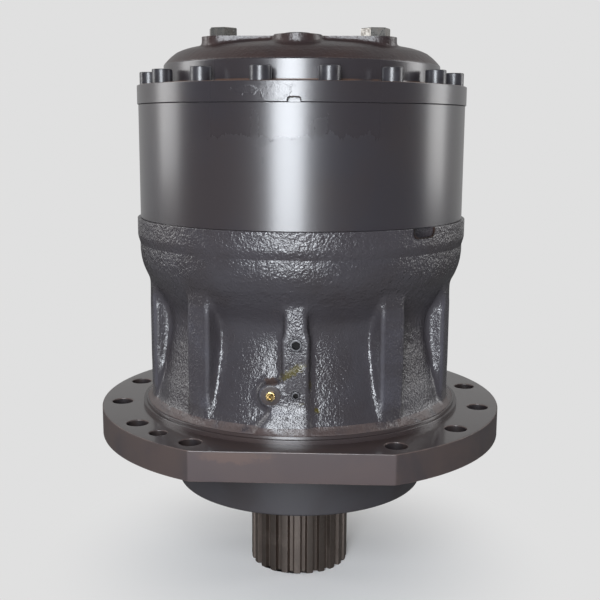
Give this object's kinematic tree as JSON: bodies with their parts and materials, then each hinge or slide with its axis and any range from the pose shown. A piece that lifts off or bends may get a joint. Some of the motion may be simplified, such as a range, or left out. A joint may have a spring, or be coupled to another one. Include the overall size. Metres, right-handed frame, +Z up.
{
  "type": "excavator swing gearbox",
  "caption": "Two-stage planetary swing gearbox with a ribbed cast housing, round bolted mounting flange with a front flat, domed motor cover and splined output shaft.",
  "frame": {"origin": "on the output axis at the underside of the mounting flange", "axes": "+Z up along the axis towards the motor; the flange's flat and the machined pad face -Y"},
  "size_m": [0.516, 0.4895, 0.688],
  "materials": {
    "gloss_paint": "glossy dark charcoal brown enamel on machined steel",
    "cast_paint": "glossy dark charcoal enamel over rough casting; satin on the machined flange",
    "shaft_steel": "oiled bronze-brown hardened steel",
    "gear_steel": "ground steel",
    "black_oxide": "black oxide with a bluish shine",
    "zinc_plate": "bright zinc plate",
    "brass": "turned brass",
    "bronze": "plain bronze",
    "seal_rubber": "matt black"
  },
  "bodies": {
    "housing": {"lower_housing": "cast_paint", "ring_gear": "gloss_paint", "top_cover": "gloss_paint", "cover_screws": "black_oxide", "dowel_pins": "gear_steel", "housing_seal_ring": "seal_rubber", "cover_seal_ring": "seal_rubber", "motor_bolts": "zinc_plate", "port_plug": "black_oxide", "upper_pad_plug": "black_oxide", "lower_pad_plug": "black_oxide", "grease_nipple": "brass", "lower_bearing_outer_race": "gear_steel", "upper_bearing_outer_race": "gear_steel", "seal_cover": "gloss_paint", "seal_cover_screws": "black_oxide", "shaft_seal": "seal_rubber"},
    "output": {"output_shaft": "shaft_steel", "lower_bearing_inner_race": "gear_steel", "upper_bearing_inner_race": "gear_steel", "output_carrier": "gear_steel", "output_planet_pins": "gear_steel", "shaft_end_plate": "gear_steel", "end_plate_screws": "black_oxide", "output_sun_pad": "bronze", "output_thrust_washers": "bronze"},
    "output_planet_1": {"output_planet_1": "gear_steel", "output_planet_bush_1": "bronze"},
    "output_planet_2": {"output_planet_2": "gear_steel", "output_planet_bush_2": "bronze"},
    "output_planet_3": {"output_planet_3": "gear_steel", "output_planet_bush_3": "bronze"},
    "output_planet_4": {"output_planet_4": "gear_steel", "output_planet_bush_4": "bronze"},
    "first_carrier": {"first_carrier": "gear_steel", "first_planet_pins": "gear_steel", "output_sun": "gear_steel", "input_sun_pad": "bronze", "first_thrust_washers": "bronze"},
    "first_planet_1": {"first_planet_1": "gear_steel", "first_planet_bush_1": "bronze"},
    "first_planet_2": {"first_planet_2": "gear_steel", "first_planet_bush_2": "bronze"},
    "first_planet_3": {"first_planet_3": "gear_steel", "first_planet_bush_3": "bronze"},
    "input_sun": {"input_sun": "gear_steel"},
    "lower_cage": {"lower_bearing_rollers": "gear_steel", "lower_bearing_cage": "bronze"},
    "upper_cage": {"upper_bearing_rollers": "gear_steel", "upper_bearing_cage": "bronze"}
  },
  "joints": [
    {"name": "output_spin", "type": "hinge", "parent": "housing", "child": "output", "pos_m": [0, 0, 0], "axis": [0, 0, 1], "continuous": true},
    {"name": "output_planet_1_spin", "type": "hinge", "parent": "output", "child": "output_planet_1", "pos_m": [0.105, 0, 0.306], "axis": [0, 0, 1], "continuous": true},
    {"name": "output_planet_2_spin", "type": "hinge", "parent": "output", "child": "output_planet_2", "pos_m": [0, 0.105, 0.306], "axis": [0, 0, 1], "continuous": true},
    {"name": "output_planet_3_spin", "type": "hinge", "parent": "output", "child": "output_planet_3", "pos_m": [-0.105, 0, 0.306], "axis": [0, 0, 1], "continuous": true},
    {"name": "output_planet_4_spin", "type": "hinge", "parent": "output", "child": "output_planet_4", "pos_m": [0, -0.105, 0.306], "axis": [0, 0, 1], "continuous": true},
    {"name": "first_carrier_spin", "type": "hinge", "parent": "housing", "child": "first_carrier", "pos_m": [0, 0, 0.357], "axis": [0, 0, 1], "continuous": true},
    {"name": "first_planet_1_spin", "type": "hinge", "parent": "first_carrier", "child": "first_planet_1", "pos_m": [0.0975, 0, 0.385], "axis": [0, 0, 1], "continuous": true},
    {"name": "first_planet_2_spin", "type": "hinge", "parent": "first_carrier", "child": "first_planet_2", "pos_m": [-0.04875, 0.08444, 0.385], "axis": [0, 0, 1], "continuous": true},
    {"name": "first_planet_3_spin", "type": "hinge", "parent": "first_carrier", "child": "first_planet_3", "pos_m": [-0.04875, -0.08444, 0.385], "axis": [0, 0, 1], "continuous": true},
    {"name": "input_spin", "type": "hinge", "parent": "housing", "child": "input_sun", "pos_m": [0, 0, 0.41], "axis": [0, 0, 1], "continuous": true},
    {"name": "lower_cage_spin", "type": "hinge", "parent": "housing", "child": "lower_cage", "pos_m": [0, 0, -0.016], "axis": [0, 0, 1], "continuous": true},
    {"name": "upper_cage_spin", "type": "hinge", "parent": "housing", "child": "upper_cage", "pos_m": [0, 0, 0.179], "axis": [0, 0, 1], "continuous": true}
  ],
  "couplings": [
    {"joint": "output_planet_1_spin", "follows": "output_spin", "ratio": -2.75},
    {"joint": "output_planet_2_spin", "follows": "output_spin", "ratio": -2.75},
    {"joint": "output_planet_3_spin", "follows": "output_spin", "ratio": -2.75},
    {"joint": "output_planet_4_spin", "follows": "output_spin", "ratio": -2.75},
    {"joint": "first_carrier_spin", "follows": "output_spin", "ratio": 4.6667},
    {"joint": "first_planet_1_spin", "follows": "output_spin", "ratio": -11.407},
    {"joint": "first_planet_2_spin", "follows": "output_spin", "ratio": -11.407},
    {"joint": "first_planet_3_spin", "follows": "output_spin", "ratio": -11.407},
    {"joint": "input_spin", "follows": "output_spin", "ratio": 30.333},
    {"joint": "lower_cage_spin", "follows": "output_spin", "ratio": 0.45255},
    {"joint": "upper_cage_spin", "follows": "output_spin", "ratio": 0.44222}
  ]
}
